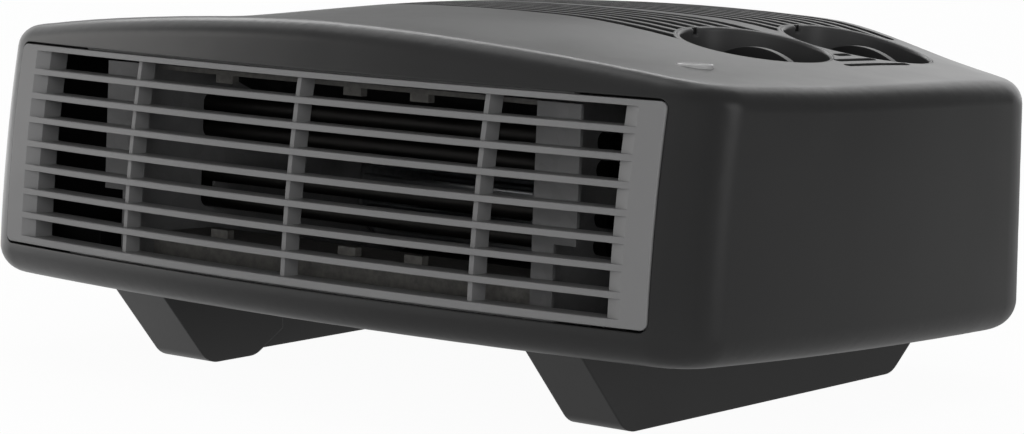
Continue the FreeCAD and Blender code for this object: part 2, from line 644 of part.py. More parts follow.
def build_dial_well(label, x, y):
    # a round well, flush with the roof, with an index notch in its wall
    low = S["well_floor"] - S["well_floor_thick"]
    outer = Part.makeCylinder(S["well_radius"] + S["well_wall"], 60, Vector(x, y, low))
    hollow = Part.makeCylinder(S["well_radius"], 60, Vector(x, y, S["well_floor"]))
    spindle_hole = Part.makeCylinder(S["spindle_radius"] + 0.5 * S["seat_gap"], 20, Vector(x, y, low - 5))
    wall_x = x - S["well_radius"]
    rim = roof_height(wall_x, y)
    half = 0.5 * S["notch_width"]
    notch = block_between((wall_x - 2.0 * S["well_wall"], wall_x + 3.0), (y - half, y + half),
                          (rim - S["notch_depth"], rim + 10.0))
    well = outer.common(below_roof(0.0)).cut([hollow, spindle_hole, notch])
    return keep_shape(well.Solids[0], label)


def build_knob(label, well):
    x, y = well + "_x", well + "_y"
    low = "well_floor + knob_lift"
    top = "well_floor + knob_lift + knob_thick"
    disc = rod(label + "_disc", "knob_radius", "knob_thick", x, y, low)
    slab = box(label + "_slab", ("%s - knob_radius + 1" % x, "%s + knob_radius - 1" % x),
               ("%s - grip_thick / 2" % y, "%s + grip_thick / 2" % y), ("%s - 0.5" % top, "%s + grip_height" % top))
    arch = rod(label + "_arch", "grip_radius", "grip_thick + 2", x, "%s - grip_thick / 2 - 1" % y,
               "%s + grip_height - grip_radius" % top, "Y")
    grip = doc.addObject("Part::Common", label + "_grip")
    grip.Base, grip.Tool = slab, arch
    socket = rod(label + "_socket", "spindle_radius + close_gap", "spindle_socket", x, y, "%s - 0.01" % low)
    keep(cut(label, fuse(label + "_block", disc, grip), socket), label)


def build_controls():
    for well, knob, spindle, body in (
        ("front_well", "thermostat_knob", "thermostat_spindle", "thermostat_body"),
        ("rear_well", "selector_knob", "selector_spindle", "selector_switch"),
    ):
        x, y = well + "_x", well + "_y"
        build_knob(knob, well)
        under = "well_floor - well_floor_thick"
        reach = "well_floor_thick + knob_lift + spindle_socket - 0.1"
        core = rod(spindle + "_core", "spindle_radius", reach, x, y, under)
        keep(group(spindle, core), spindle)
        shell = box(body + "_case", ("%s - control_width / 2" % x, "%s + control_width / 2" % x),
                    ("%s - control_width / 2" % y, "%s + control_width / 2" % y),
                    ("%s - control_height" % under, under))
        tabs = []
        for i, side in enumerate((-1, 1)):
            tab_y = "%s + %d * control_width / 4" % (y, side)
            tabs.append(box(body + "_tab%d" % i, ("%s - 3.2" % x, "%s + 3.2" % x), ("%s - 0.4" % tab_y, "%s + 0.4" % tab_y),
                            ("%s - control_height - 1" % under, "%s - 5" % under)))
        keep(fuse(body, shell, *tabs), body)


def build_pilot():
    deck = roof_height(S["lens_x"], S["lens_y"])
    low = deck - S["wall"] - 2.4
    stem = Part.makeCylinder(S["lens_radius"], deck + S["lens_proud"] - low, Vector(S["lens_x"], S["lens_y"], low))
    rim = [e for e in stem.Edges if abs(e.CenterOfMass.z - deck - S["lens_proud"]) < 0.01 and e.Closed]
    stem = stem.makeFillet(0.6, rim)
    flange = Part.makeCylinder(S["lens_radius"] + 1.6, 1.4, Vector(S["lens_x"], S["lens_y"], low))
    keep_shape(stem.fuse(flange).removeSplitter(), "pilot_lens")
    lamp = Part.makeCylinder(S["lamp_radius"], S["lamp_length"], Vector(S["lens_x"], S["lens_y"], low - S["lamp_length"]))
    keep_shape(lamp, "pilot_lamp")


def foot_place():
    # floor coordinates of the case's underside above a point of the floor
    lean = math.radians(S["pitch_angle"])

    def underside(y):
        return (S["seat_height"] + S["case_bottom"] / math.cos(lean)) - y * math.tan(lean)

    return underside


def corner_round(points, radii):
    # a closed outline in the YZ plane whose corners are rounded by the radii
    edges = []
    ends = []
    count = len(points)
    for i in range(count):
        here = points[i]
        if radii[i] <= 0.0:
            ends.append((here, here))
            continue
        back = (points[i - 1] - here).normalize()
        ahead = (points[(i + 1) % count] - here).normalize()
        half = 0.5 * back.getAngle(ahead)
        reach = radii[i] / math.tan(half)
        middle = here + (back + ahead).normalize() * (radii[i] / math.sin(half))
        start, end = here + back * reach, here + ahead * reach
        edges.append(Part.Arc(start, middle + (here - middle).normalize() * radii[i], end).toShape())
        ends.append((start, end))
    for i in range(count):
        edges.append(Part.makeLine(ends[i][1], ends[(i + 1) % count][0]))
    return Part.Face(Part.Wire(Part.sortEdges(edges)[0]))


def build_foot(label, side):
    # the foot is drawn level with the floor and cut by the leaning underside
    underside = foot_place()
    front, rear = S["foot_front"], S["foot_rear"]
    top_front = front - S["foot_front_run"]
    top_rear = rear + S["foot_rear_run"]
    rise = S["foot_rear_rise"]
    fillet = S["foot_round"]
    profile = [Vector(0, front, 0), Vector(0, rear, 0), Vector(0, top_rear, rise),
               Vector(0, top_rear, underside(top_rear)), Vector(0, top_front, underside(top_front))]
    rail = corner_round(profile, [fillet, fillet, 0.0, 0.0, 0.0])
    rear_block = S["foot_block"]
    step = rear_block + 14.0
    block = [Vector(0, front, 0), Vector(0, rear_block, 0), Vector(0, step, 8.0),
             Vector(0, step, underside(step)), Vector(0, top_front, underside(top_front))]
    wide = corner_round(block, [fillet, fillet, 0.0, 0.0, 0.0])
    solid = rail.extrude(Vector(S["foot_outer"] - S["foot_step"], 0, 0))
    solid.translate(Vector(S["foot_step"], 0, 0))
    extra = wide.extrude(Vector(S["foot_outer"] - S["foot_inner"] - 2.0, 0, 0))
    extra.translate(Vector(S["foot_inner"], 0, 0))
    foot = solid.fuse(extra).removeSplitter()
    if side < 0:
        foot = foot.mirror(Vector(0, 0, 0), Vector(1, 0, 0))
    lean = Placement(Vector(0, 0, S["seat_height"]), Rotation(Vector(1, 0, 0), -S["pitch_angle"]))
    foot.transformShape(lean.inverse().toMatrix(), False)
    holes = []
    for x, y in foot_screw_places():
        if x * side > 0:
            holes.append(Part.makeCylinder(S["screw_radius"] + S["close_gap"], S["screw_length"],
                                           Vector(x, y, S["case_bottom"] - S["screw_length"] + 1.0)))
    return keep_shape(foot.cut(holes).Solids[0], label)


def foot_screw_places():
    x = 0.5 * (S["foot_step"] + S["foot_outer"])
    span = S["foot_rear"] - S["foot_front"]
    return [(s * x, S["foot_front"] + f * span) for s in (-1.0, 1.0) for f in (0.1, 0.85)]


def screw(x, y, seat_z, up):
    # a pan-head screw whose head rests on seat_z, the shank pointing up or down
    shank_low = seat_z if up else seat_z - S["screw_length"] + 1.5
    head_low = seat_z - S["screw_head_thick"] if up else seat_z
    shank = Part.makeCylinder(S["screw_radius"], S["screw_length"] - 1.5, Vector(x, y, shank_low))
    head = Part.makeCylinder(S["screw_head"], S["screw_head_thick"], Vector(x, y, head_low))
    rim_z = head_low if up else head_low + S["screw_head_thick"]
    rim = [e for e in head.Edges if e.Closed and abs(e.CenterOfMass.z - rim_z) < 0.01]
    return head.makeFillet(0.8, rim).fuse(shank).removeSplitter()


def build_base():
    low, high = S["case_bottom"], S["base_top"]
    half = S["opening_half_width"] - S["seat_gap"]
    plate = block_between((-half, half), (S["opening_front"] + S["seat_gap"], S["opening_rear"] - S["seat_gap"]), (low, high))
    corners = [e for e in plate.Edges if abs(e.Vertexes[0].Z - e.Vertexes[1].Z) > 1.0]
    plate = plate.makeFillet(S["opening_corner"] - S["seat_gap"], corners)
    holes = []
    for x, y in boss_places() + foot_screw_places():
        holes.append(Part.makeCylinder(S["screw_radius"] + S["close_gap"], 20, Vector(x, y, low - 5)))
    keep_shape(plate.cut(holes), "base_plate")
    keep_shape(Part.makeCompound([screw(x, y, low, True) for x, y in boss_places()]), "base_screws")
    keep_shape(Part.makeCompound([screw(x, y, high, False) for x, y in foot_screw_places()]), "foot_screws")


def element_levels():
    return [S["upper_element_z"], S["lower_element_z"]]


def build_end_plate(label, side):
    thick = S["sheet_metal"]
    base = S["base_top"]
    low = base + S["plate_clear"]
    floor_front = S["tongue_front"] - 2.0
    points = [
        (S["plate_front"], low), (S["plate_front"], S["plate_top"]), (floor_front + 6.0, S["plate_top"]),
        (floor_front + 50.0, S["plate_low_top"]), (S["plate_rear"], S["plate_low_top"]),
        (S["plate_rear"], base), (floor_front, base), (floor_front, low), (S["plate_front"], low),
    ]
    wire = Part.makePolygon([Vector(0, y, z) for y, z in points])
    plate = Part.Face(wire).extrude(Vector(thick, 0, 0))
    across = (S["plate_front"], S["plate_front"] + thick)
    flange = block_between((0, S["plate_flange"]), across, (S["flange_step_z"], S["plate_top"]))
    flange = flange.fuse(block_between((0, 0.5 * S["plate_flange"]), across, (low, S["flange_step_z"])))
    foot = block_between((0, 6.0), (S["fan_y"] - 40.0, S["plate_rear"]), (base, base + thick))
    plate = plate.fuse([flange, foot]).removeSplitter()
    radius = S["element_radius"] + 0.5 * S["seat_gap"]
    tools = []
    for level in element_levels():
        ends = [level - S["element_bend"], level + S["element_bend"]]
        for z in ends:
            tools.append(Part.makeCylinder(radius, 20, Vector(-10, S["element_y"], z), Vector(1, 0, 0)))
        if side < 0:
            tools.append(block_between((-10, 10), (S["element_y"] - radius, S["element_y"] + radius), ends))
    hole = S["bearing_radius"] + S["close_gap"] if side > 0 else S["shaft_radius"] + 2.0
    tools.append(Part.makeCylinder(hole, 20, Vector(-10, S["fan_y"], S["fan_z"]), Vector(1, 0, 0)))
    plate = plate.cut(tools)
    if side > 0:
        plate.translate(Vector(S["duct_half"], 0, 0))
    else:
        plate = plate.mirror(Vector(0, 0, 0), Vector(1, 0, 0))
        plate.translate(Vector(-S["duct_half"], 0, 0))
    return keep_shape(plate.Solids[0], label)


def build_element(label, level):
    # a hairpin rod that lies across the duct, with its bend outside the left plate
    y, radius, bend = S["element_y"], S["element_radius"], S["element_bend"]
    left = -S["duct_half"] - S["sheet_metal"] - 1.0
    right = S["duct_half"] + S["sheet_metal"] + S["element_tail"]
    legs = []
    for z in (level - bend, level + bend):
        legs.append(Part.makeCylinder(radius, right - left, Vector(left, y, z), Vector(1, 0, 0)))
        legs.append(Part.makeCylinder(0.5 * radius, 6.0, Vector(right - 1.0, y, z), Vector(1, 0, 0)))
    circle = Part.Face(Part.Wire(Part.makeCircle(radius, Vector(left, y, level + bend), Vector(1, 0, 0))))
    turn = circle.revolve(Vector(left, y, level), Vector(0, 1, 0), -180)
    return keep_shape(turn.fuse(legs).removeSplitter(), label)


def build_insulator(label, level, tab_side):
    name = label
    strip = box(name + "_strip", ("-duct_half + close_gap", "duct_half - close_gap"),
                ("insulator_front", "insulator_front + insulator_depth"), (level, "%s + insulator_thick" % level))
    low = "%s - tab_drop" % level if tab_side < 0 else "%s + insulator_thick - 0.1" % level
    high = "%s + 0.1" % level if tab_side < 0 else "%s + insulator_thick + tab_drop" % level
    tabs = []
    for i, x in enumerate((-60, 0, 30)):
        tabs.append(box(name + "_tab%d" % i, ("%d - tab_size / 2" % x, "%d + tab_size / 2" % x),
                        ("insulator_front + 3", "insulator_front + 6"), (low, high)))
    if tab_side > 0:
        # the lower strip turns down behind the lowest gap of the louvres
        tabs.append(box(name + "_skirt", ("-duct_half + close_gap", "duct_half - close_gap"),
                        ("insulator_front", "insulator_front + insulator_thick"),
                        ("base_top + skirt_clear", "%s + 0.1" % level)))
    keep(fuse(name, strip, *tabs), label)


def build_fan():
    # a cross-flow wheel: three discs and a ring of curved blades
    half, outer = S["fan_half_length"], S["fan_radius"]
    inner = outer - S["fan_ring"]
    thick = S["blade_thick"]
    count = int(S["fan_blades"])
    discs = []
    for x in (-half, -0.5 * S["fan_disc"], half - S["fan_disc"]):
        disc = Part.makeCylinder(outer, S["fan_disc"], Vector(x, 0, 0), Vector(1, 0, 0))
        bore = Part.makeCylinder(S["shaft_radius"] + S["close_gap"], 10, Vector(x - 5, 0, 0), Vector(1, 0, 0))
        discs.append(disc.cut(bore))
    bulge = 0.22 * S["fan_ring"]
    rows = []
    for shift in (0.0, thick):
        rows.append([Vector(-half, shift, inner), Vector(-half, shift + bulge, 0.5 * (inner + outer - 0.3)),
                     Vector(-half, shift, outer - 0.3)])
    edges = [Part.Arc(*rows[0]).toShape(), Part.makeLine(rows[0][2], rows[1][2]),
             Part.Arc(*rows[1]).toShape(), Part.makeLine(rows[1][0], rows[0][0])]
    blade = Part.Face(Part.Wire(Part.sortEdges(edges)[0])).extrude(Vector(2.0 * half, 0, 0))
    blades = []
    for i in range(count):
        copy = blade.copy()
        copy.rotate(Vector(0, 0, 0), Vector(1, 0, 0), 360.0 * i / count)
        blades.append(copy)
    wheel = discs[0].fuse(discs[1:] + blades)
    wheel.translate(Vector(0, S["fan_y"], S["fan_z"]))
    keep_shape(wheel.Solids[0], "fan_rotor")
    shaft = rod("fan_shaft_bar", "shaft_radius", "shaft_right + shaft_left", "-shaft_left", "fan_y", "fan_z", "X")
    keep(group("fan_shaft", shaft), "fan_shaft")
    seat = "duct_half - 1"
    bush = rod("fan_bearing_bush", "bearing_radius", "bearing_length", seat, "fan_y", "fan_z", "X")
    flange = rod("fan_bearing_flange", "bearing_flange", "2", "duct_half + sheet_metal", "fan_y", "fan_z", "X")
    bore = rod("fan_bearing_bore", "shaft_radius + close_gap", "40", "duct_half - 20", "fan_y", "fan_z", "X")
    keep(cut("fan_bearing", fuse("fan_bearing_block", bush, flange), bore), "fan_bearing")


def build_duct():
    half = S["duct_half"] - S["close_gap"]
    inner, thick = S["guide_radius"], S["sheet_metal"]
    middle = Vector(-half, S["fan_y"], S["fan_z"])

    def at(radius, degrees):
        a = math.radians(degrees)
        return middle + Vector(0, radius * math.cos(a), radius * math.sin(a))

    top, low = 50.0, -97.0
    run = Vector(0, math.sin(math.radians(low)), -math.cos(math.radians(low)))
    run = run * ((S["guide_front"] - at(inner, low).y) / run.y)
    outer = inner + thick
    edges = [
        Part.Arc(at(inner, top), at(inner, 0.5 * (top + low)), at(inner, low)).toShape(),
        Part.makeLine(at(inner, low), at(inner, low) + run),
        Part.makeLine(at(inner, low) + run, at(outer, low) + run),
        Part.makeLine(at(outer, low) + run, at(outer, low)),
        Part.Arc(at(outer, low), at(outer, 0.5 * (top + low)), at(outer, top)).toShape(),
        Part.makeLine(at(outer, top), at(inner, top)),
    ]
    guide = Part.Face(Part.Wire(edges)).extrude(Vector(2.0 * half, 0, 0))
    keep_shape(guide, "air_guide")
    # the tongue comes down from the heating rods and folds along the fan
    reach = S["fan_radius"] + S["tongue_gap"]
    start = Vector(-half, S["tongue_front"], S["tongue_front_z"])
    fold, end = at(reach, 142.0), at(reach, 158.0)
    sheet_way, lip_way = (fold - start).normalize(), (end - fold).normalize()
    under = Vector(0, sheet_way.z, -sheet_way.y)
    before = Vector(0, lip_way.z, -lip_way.y)
    inside = (under + before) * (thick / (1.0 + under.dot(before)))
    points = [start, fold, end, end + before * thick, fold + inside, start + under * thick, start]
    tongue = Part.Face(Part.makePolygon(points)).extrude(Vector(2.0 * half, 0, 0))
    keep_shape(tongue, "air_tongue")


def build_motor():
    # a shaded-pole motor left of the duct; sizes that run left are counted from the middle
    x = ("-stator_inner - stator_thick", "-stator_inner")
    stack = box("stator_stack", x, ("stator_front", "stator_rear"), ("stator_low", "stator_high"))
    bore = rod("stator_hole", "stator_bore", "stator_thick + 10", "-stator_inner - stator_thick - 5", "fan_y", "fan_z", "X")
    window = box("stator_window", ("%s - 1" % x[0], "%s + 1" % x[1]), ("window_front", "window_rear"),
                 ("stator_low + window_inset", "stator_high - window_inset"))
    keep(cut("motor_stator", stack, bore, window), "motor_stator")
    low, high = "stator_low + window_inset + seat_gap", "stator_high - window_inset - seat_gap"
    coil = box("coil_block", ("%s - coil_build / 2" % x[0], "%s + coil_build / 2" % x[1]),
               ("window_rear - coil_build", "stator_rear + coil_build"), (low, high))
    limb = box("coil_limb", ("%s - close_gap" % x[0], "%s + close_gap" % x[1]),
               ("window_rear - close_gap", "stator_rear + close_gap"), ("stator_low", "stator_high"))
    keep(cut("motor_coil", coil, limb), "motor_coil")
    core = rod("rotor_core", "stator_bore - air_gap", "stator_thick", x[0], "fan_y", "fan_z", "X")
    hole = rod("rotor_hole", "shaft_radius + close_gap", "stator_thick + 10", "%s - 5" % x[0], "fan_y", "fan_z", "X")
    keep(cut("motor_rotor", core, hole), "motor_rotor")
    z = ("fan_z - bracket_half_height", "fan_z + bracket_half_height")
    rear = "window_front"
    frames = []
    for name, near, way in (("inner", x[1], 1), ("outer", x[0], -1)):
        far = "%s + %d * bracket_reach" % (near, way)
        tip = "%s + %d * (bracket_reach + bracket_thick)" % (near, way)
        span = (far, tip) if way > 0 else (tip, far)
        legs = (near, "%s + 0.1" % far) if way > 0 else ("%s - 0.1" % far, near)
        pieces = [box("bracket_%s_strip" % name, span, ("bracket_front", rear), z)]
        pieces.append(box("bracket_%s_leg0" % name, legs, ("bracket_front", "bracket_front + bracket_leg"), z))
        pieces.append(box("bracket_%s_leg1" % name, legs, ("%s - bracket_leg" % rear, rear), z))
        if way > 0:
            for i, y in enumerate(("bracket_front + post_inset", "%s - post_inset" % rear)):
                post = ("duct_half + sheet_metal", "stator_inner - bracket_reach - bracket_thick / 2")
                pieces.append(rod("bracket_post%d" % i, "post_radius", "(%s) - (%s)" % (post[1], post[0]),
                                  "-(%s)" % post[1], y, "fan_z", "X"))
        gap = rod("bracket_%s_hole" % name, "shaft_radius + close_gap", "bracket_reach + 20", "%s - 10" % span[0], "fan_y", "fan_z", "X")
        frames.append(cut("bracket_%s" % name, fuse("bracket_%s_block" % name, *pieces), gap))
    keep(group("motor_brackets", *frames), "motor_brackets")


def build_fittings():
    seat = "duct_half + sheet_metal"
    can = rod("cutout_can", "cutout_radius", "cutout_thick", seat, "cutout_y", "cutout_z", "X")
    tabs = []
    for i, shift in enumerate((-4, 4)):
        tabs.append(box("cutout_tab%d" % i, ("%s + cutout_thick - 0.1" % seat, "%s + cutout_thick + 7" % seat),
                        ("cutout_y + %d - 0.4" % shift, "cutout_y + %d + 0.4" % shift), ("cutout_z - 3.1", "cutout_z + 3.1")))
    keep(fuse("thermal_cutout", can, *tabs), "thermal_cutout")
    base = "base_top"
    block = box("terminal_case", ("block_x", "block_x + block_length"), ("block_y", "block_y + block_depth"),
                (base, "%s + block_height" % base))
    holes = []
    for i in range(3):
        x = "block_x + block_length * %d / 6" % (2 * i + 1)
        holes.append(rod("terminal_hole%d" % i, "2.2", "block_depth + 10", x, "block_y - 5", "%s + block_height / 2" % base, "Y"))
        holes.append(rod("terminal_well%d" % i, "2.6", "block_height", x, "block_y + block_depth / 2", "%s + block_height / 2" % base))
    keep(cut("terminal_block", block, *holes), "terminal_block")
    outer_face = "case_rear - back_draft * (gland_z - gland_flange)"
    inner_face = "case_rear - wall - back_draft * (gland_z + gland_flange)"
    start = "%s - gland_flange_thick" % inner_face
    length = "wall + 2 * gland_flange_thick + 2 * back_draft * gland_flange"
    body = rod("gland_body", "gland_radius", length, "gland_x", start, "gland_z", "Y")
    outside = rod("gland_outside", "gland_flange", "gland_flange_thick", "gland_x", outer_face, "gland_z", "Y")
    inside = rod("gland_inside", "gland_flange", "gland_flange_thick", "gland_x", start, "gland_z", "Y")
    bore = rod("gland_hole", "gland_bore", "40", "gland_x", "case_rear - 20", "gland_z", "Y")
    keep(cut("cord_gland", fuse("gland_block", body, outside, inside), bore), "cord_gland")


def settle():
    # leans the whole heater back on its feet and centres it over the origin, standing on the floor
    doc.recompute()
    lean = Rotation(Vector(1, 0, 0), -S["pitch_angle"])
    own = [obj.Placement for obj in PARTS]
    for obj, place in zip(PARTS, own):
        obj.Placement = Placement(Vector(0, 0, S["seat_height"]), lean).multiply(place)
    doc.recompute()
    bounds = FreeCAD.BoundBox()
    for obj in PARTS:
        bounds.add(obj.Shape.optimalBoundingBox(False, False))
    middle = Vector(-bounds.Center.x, -bounds.Center.y, S["seat_height"] - bounds.ZMin)
    for obj, place in zip(PARTS, own):
        obj.Placement = Placement(middle, lean).multiply(place)
    doc.recompute()


def write_parts():
    os.makedirs("parts", exist_ok=True)
    for obj in doc.Objects:
        if "Invalid" in obj.State or "Error" in obj.State:
            raise RuntimeError("%s did not compute" % obj.Name)
    for obj in PARTS:
        if obj.Shape.isNull() or not obj.Shape.isValid() or obj.Shape.Volume <= 0.0:
            raise RuntimeError("%s has no sound shape" % obj.Label)
        obj.Shape.exportStep("parts/%s.step" % obj.Label)


build_case()
build_grille()
build_dial_well("thermostat_well", S["front_well_x"], S["front_well_y"])
build_dial_well("selector_well", S["rear_well_x"], S["rear_well_y"])
build_controls()
build_pilot()
build_base()
build_foot("left_foot", -1)
build_foot("right_foot", 1)
build_end_plate("left_end_plate", -1)
build_end_plate("right_end_plate", 1)
build_element("upper_element", S["upper_element_z"])
build_element("lower_element", S["lower_element_z"])
build_insulator("upper_insulator", "upper_insulator_z", -1)
build_insulator("lower_insulator", "lower_insulator_z", 1)
build_fan()
build_duct()
build_motor()
build_fittings()
settle()
write_parts()
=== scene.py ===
import json
import math

import bpy
from mathutils import Matrix, Vector


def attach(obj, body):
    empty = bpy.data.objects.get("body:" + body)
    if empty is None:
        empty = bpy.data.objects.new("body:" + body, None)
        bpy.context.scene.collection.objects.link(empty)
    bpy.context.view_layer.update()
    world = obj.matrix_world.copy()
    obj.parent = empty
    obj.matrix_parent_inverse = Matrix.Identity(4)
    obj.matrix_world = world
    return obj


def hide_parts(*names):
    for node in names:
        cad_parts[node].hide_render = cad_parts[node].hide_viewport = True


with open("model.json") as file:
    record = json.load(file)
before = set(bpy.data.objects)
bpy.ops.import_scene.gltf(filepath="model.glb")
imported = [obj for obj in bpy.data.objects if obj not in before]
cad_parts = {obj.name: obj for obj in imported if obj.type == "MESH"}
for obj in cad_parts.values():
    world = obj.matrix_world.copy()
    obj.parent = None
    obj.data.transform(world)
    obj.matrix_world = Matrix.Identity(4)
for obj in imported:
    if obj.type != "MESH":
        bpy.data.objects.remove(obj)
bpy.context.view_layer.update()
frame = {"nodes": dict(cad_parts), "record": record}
bpy.ops.object.select_all(action="DESELECT")
scene = bpy.context.scene
scene.view_settings.view_transform = "Standard"
plainWhite = (1, 1, 1, 1)
print("frame loaded:", len(frame["nodes"]), "nodes")

# camera, set up for a picture of 1024 x 434
viewpoint = {
    "place": (0.82808, -0.95570, 0.22615),
    "azimuth": 40.766,
    "elevation": 7.770,
    "roll": 0.282,
    "lens": 128.56,
    "sensor": 36.0,
    "clipStart": 0.05,
}


def setCamera(spec):
    bpy.ops.object.camera_add(location=(0, 0, 0))
    camera = bpy.context.object
    camera.name = "photoCamera"
    turn = Matrix.Rotation(math.radians(spec["azimuth"]), 4, "Z")
    turn @= Matrix.Rotation(math.radians(90.0 - spec["elevation"]), 4, "X")
    turn @= Matrix.Rotation(math.radians(spec["roll"]), 4, "Z")
    camera.matrix_world = Matrix.Translation(spec["place"]) @ turn
    camera.data.lens = spec["lens"]
    camera.data.sensor_width = spec["sensor"]
    camera.data.sensor_fit = "HORIZONTAL"
    camera.data.clip_start = spec["clipStart"]
    scene.camera = camera


setCamera(viewpoint)
print("camera set")

# softboxes around the heater, each aimed at the middle of the case
softboxes = {
    "leftBox": {
        "place": (-1.95, -0.90, 0.55), "size": (1.1, 1.1), "power": 5.7,
        "tint": (1.0, 0.98, 0.96), "mirrored": True,
    },
    "rightBox": {
        "place": (1.93, 0.52, 0.55), "size": (0.7, 1.1), "power": 2.6,
        "tint": (1.0, 1.0, 1.0), "mirrored": True,
    },
    "backBox": {
        "place": (-1.62, 1.42, 1.40), "size": (1.5, 0.5), "power": 7.5,
        "tint": (1.0, 1.0, 1.0), "mirrored": True,
    },
    "topBox": {
        "place": (0.0, 0.2, 1.8), "size": (1.8, 1.4), "power": 9.0,
        "tint": (1.0, 1.0, 1.0), "mirrored": False,
    },
    "frontFill": {
        "place": (1.35, -1.65, 0.6), "size": (1.4, 1.0), "power": 19.5,
        "tint": (1.0, 1.0, 1.0), "mirrored": False,
    },
}
studio = {
    "aim": (0.0, 0.0, 0.07),
    "floorSize": 9.0,
    "floorColour": (0.86, 0.86, 0.86),
    "floorWhite": 0.96,            # share of plain white that the camera sees on the floor
    "floorPaintedGlow": (1.80, 0.41),   # painted light: how bright the floor glows in reflections, left and right, a painted pool of light from the left softbox
    "floorFade": (-0.9, 0.0),      # and between which places along X
    "roomLight": 0.45,
    # what glossy faces mirror: bearing from the back (left is negative) and brightness there
    "roomGlow": (
        (-180, 0.40), (-165, 0.27), (-140, 0.38), (-108, 0.30), (-95, 1.10), (-60, 1.10), (-50, 0.30),
        (-38, 0.22), (-31, 1.22), (-8, 1.16), (8, 0.21), (150, 0.20), (180, 0.40),
    ),
    "glowTop": 2.0,                # brightness at the top of the ramp
}


def hangSoftboxes(spec):
    for name, box in softboxes.items():
        bpy.ops.object.light_add(type="AREA", location=box["place"])
        lamp = bpy.context.object
        lamp.name = name
        lamp.data.shape = "RECTANGLE"
        lamp.data.size, lamp.data.size_y = box["size"]
        lamp.data.energy = box["power"]
        lamp.data.color = box["tint"]
        lamp.visible_glossy = box["mirrored"]
        aim = Vector(spec["aim"]) - Vector(box["place"])
        lamp.rotation_euler = aim.to_track_quat("-Z", "Y").to_euler()


def mirrorRoom(tree, spec):
    # the background that glossy faces see, brighter on some bearings than on others
    mirrored = tree.nodes.new("ShaderNodeBackground")
    compass = tree.nodes.new("ShaderNodeTexCoord")
    split = tree.nodes.new("ShaderNodeSeparateXYZ")
    tree.links.new(compass.outputs["Generated"], split.inputs[0])
    bearing = tree.nodes.new("ShaderNodeMath")
    bearing.operation = "ARCTAN2"
    tree.links.new(split.outputs["X"], bearing.inputs[0])
    tree.links.new(split.outputs["Y"], bearing.inputs[1])
    turn = tree.nodes.new("ShaderNodeMapRange")
    turn.inputs["From Min"].default_value = -math.pi
    turn.inputs["From Max"].default_value = math.pi
    tree.links.new(bearing.outputs[0], turn.inputs["Value"])
    glow = tree.nodes.new("ShaderNodeValToRGB")
    marks = glow.color_ramp.elements
    rampMiddle = 0.5   # straight back
    while len(marks) < len(spec["roomGlow"]):
        marks.new(rampMiddle)
    for mark, (degrees, _) in zip(marks, spec["roomGlow"]):
        mark.position = degrees / 360.0 + rampMiddle
    for mark, (_, level) in zip(marks, spec["roomGlow"]):   # once all marks are in their order
        mark.color = (level / spec["glowTop"],) * 3 + (1,)
    tree.links.new(turn.outputs["Result"], glow.inputs["Fac"])
    tree.links.new(glow.outputs["Color"], mirrored.inputs["Color"])
    mirrored.inputs["Strength"].default_value = spec["glowTop"]
    return mirrored


def lightRoom(spec):
    world = bpy.data.worlds.new("studioRoom")
    scene.world = world
    world.use_nodes = True
    tree = world.node_tree
    tree.nodes.clear()
    room = tree.nodes.new("ShaderNodeBackground")
    room.inputs["Color"].default_value = plainWhite
    room.inputs["Strength"].default_value = spec["roomLight"]
    seen = tree.nodes.new("ShaderNodeBackground")
    seen.inputs["Color"].default_value = plainWhite
    seen.inputs["Strength"].default_value = 1.0
    mirrored = mirrorRoom(tree, spec)
    rays = tree.nodes.new("ShaderNodeLightPath")
    glossy = tree.nodes.new("ShaderNodeMath")
    glossy.operation = "MAXIMUM"
    tree.links.new(rays.outputs["Is Glossy Ray"], glossy.inputs[0])
    tree.links.new(rays.outputs["Is Transmission Ray"], glossy.inputs[1])
    first = tree.nodes.new("ShaderNodeMixShader")
    tree.links.new(glossy.outputs[0], first.inputs["Fac"])
    tree.links.new(room.outputs[0], first.inputs[1])
    tree.links.new(mirrored.outputs[0], first.inputs[2])
    second = tree.nodes.new("ShaderNodeMixShader")
    tree.links.new(rays.outputs["Is Camera Ray"], second.inputs["Fac"])
    tree.links.new(first.outputs[0], second.inputs[1])
    tree.links.new(seen.outputs[0], second.inputs[2])
    output = tree.nodes.new("ShaderNodeOutputWorld")
    tree.links.new(second.outputs[0], output.inputs["Surface"])


